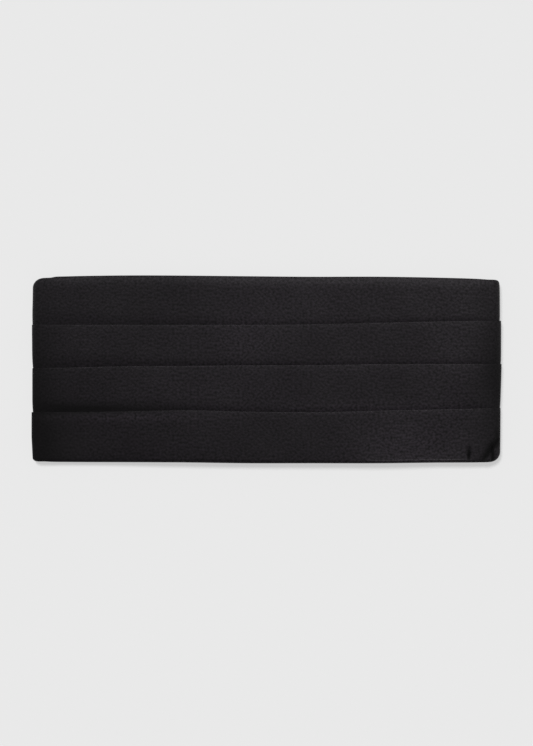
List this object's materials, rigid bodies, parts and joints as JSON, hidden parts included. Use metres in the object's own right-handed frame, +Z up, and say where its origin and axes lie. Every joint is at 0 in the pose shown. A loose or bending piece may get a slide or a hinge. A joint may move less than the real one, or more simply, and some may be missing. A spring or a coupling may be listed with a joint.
{
  "type": "cummerbund",
  "caption": "Pleated black waist sash lying flat, its ends folded under and joined by an elastic strap with a flat clasp.",
  "frame": {"origin": "on the surface it lies on, under the middle of the box round the whole sash", "axes": "+Z up from the surface, +X along the sash to the right as seen from above, +Y towards the edge that its pleats open to"},
  "size_m": [0.3136, 0.125, 0.0104],
  "materials": {
    "shell_cloth": "matte woven, with a slight sheen",
    "backing_cloth": "smooth lining",
    "elastic": "ribbed elastic webbing",
    "clasp_metal": "satin black"
  },
  "bodies": {
    "root": {"top_pleat": "shell_cloth", "upper_pleat": "shell_cloth", "lower_pleat": "shell_cloth", "bottom_pleat": "shell_cloth", "backing": "backing_cloth", "strap_left": "elastic", "strap_right": "elastic", "clasp": "clasp_metal"}
  },
  "joints": []
}
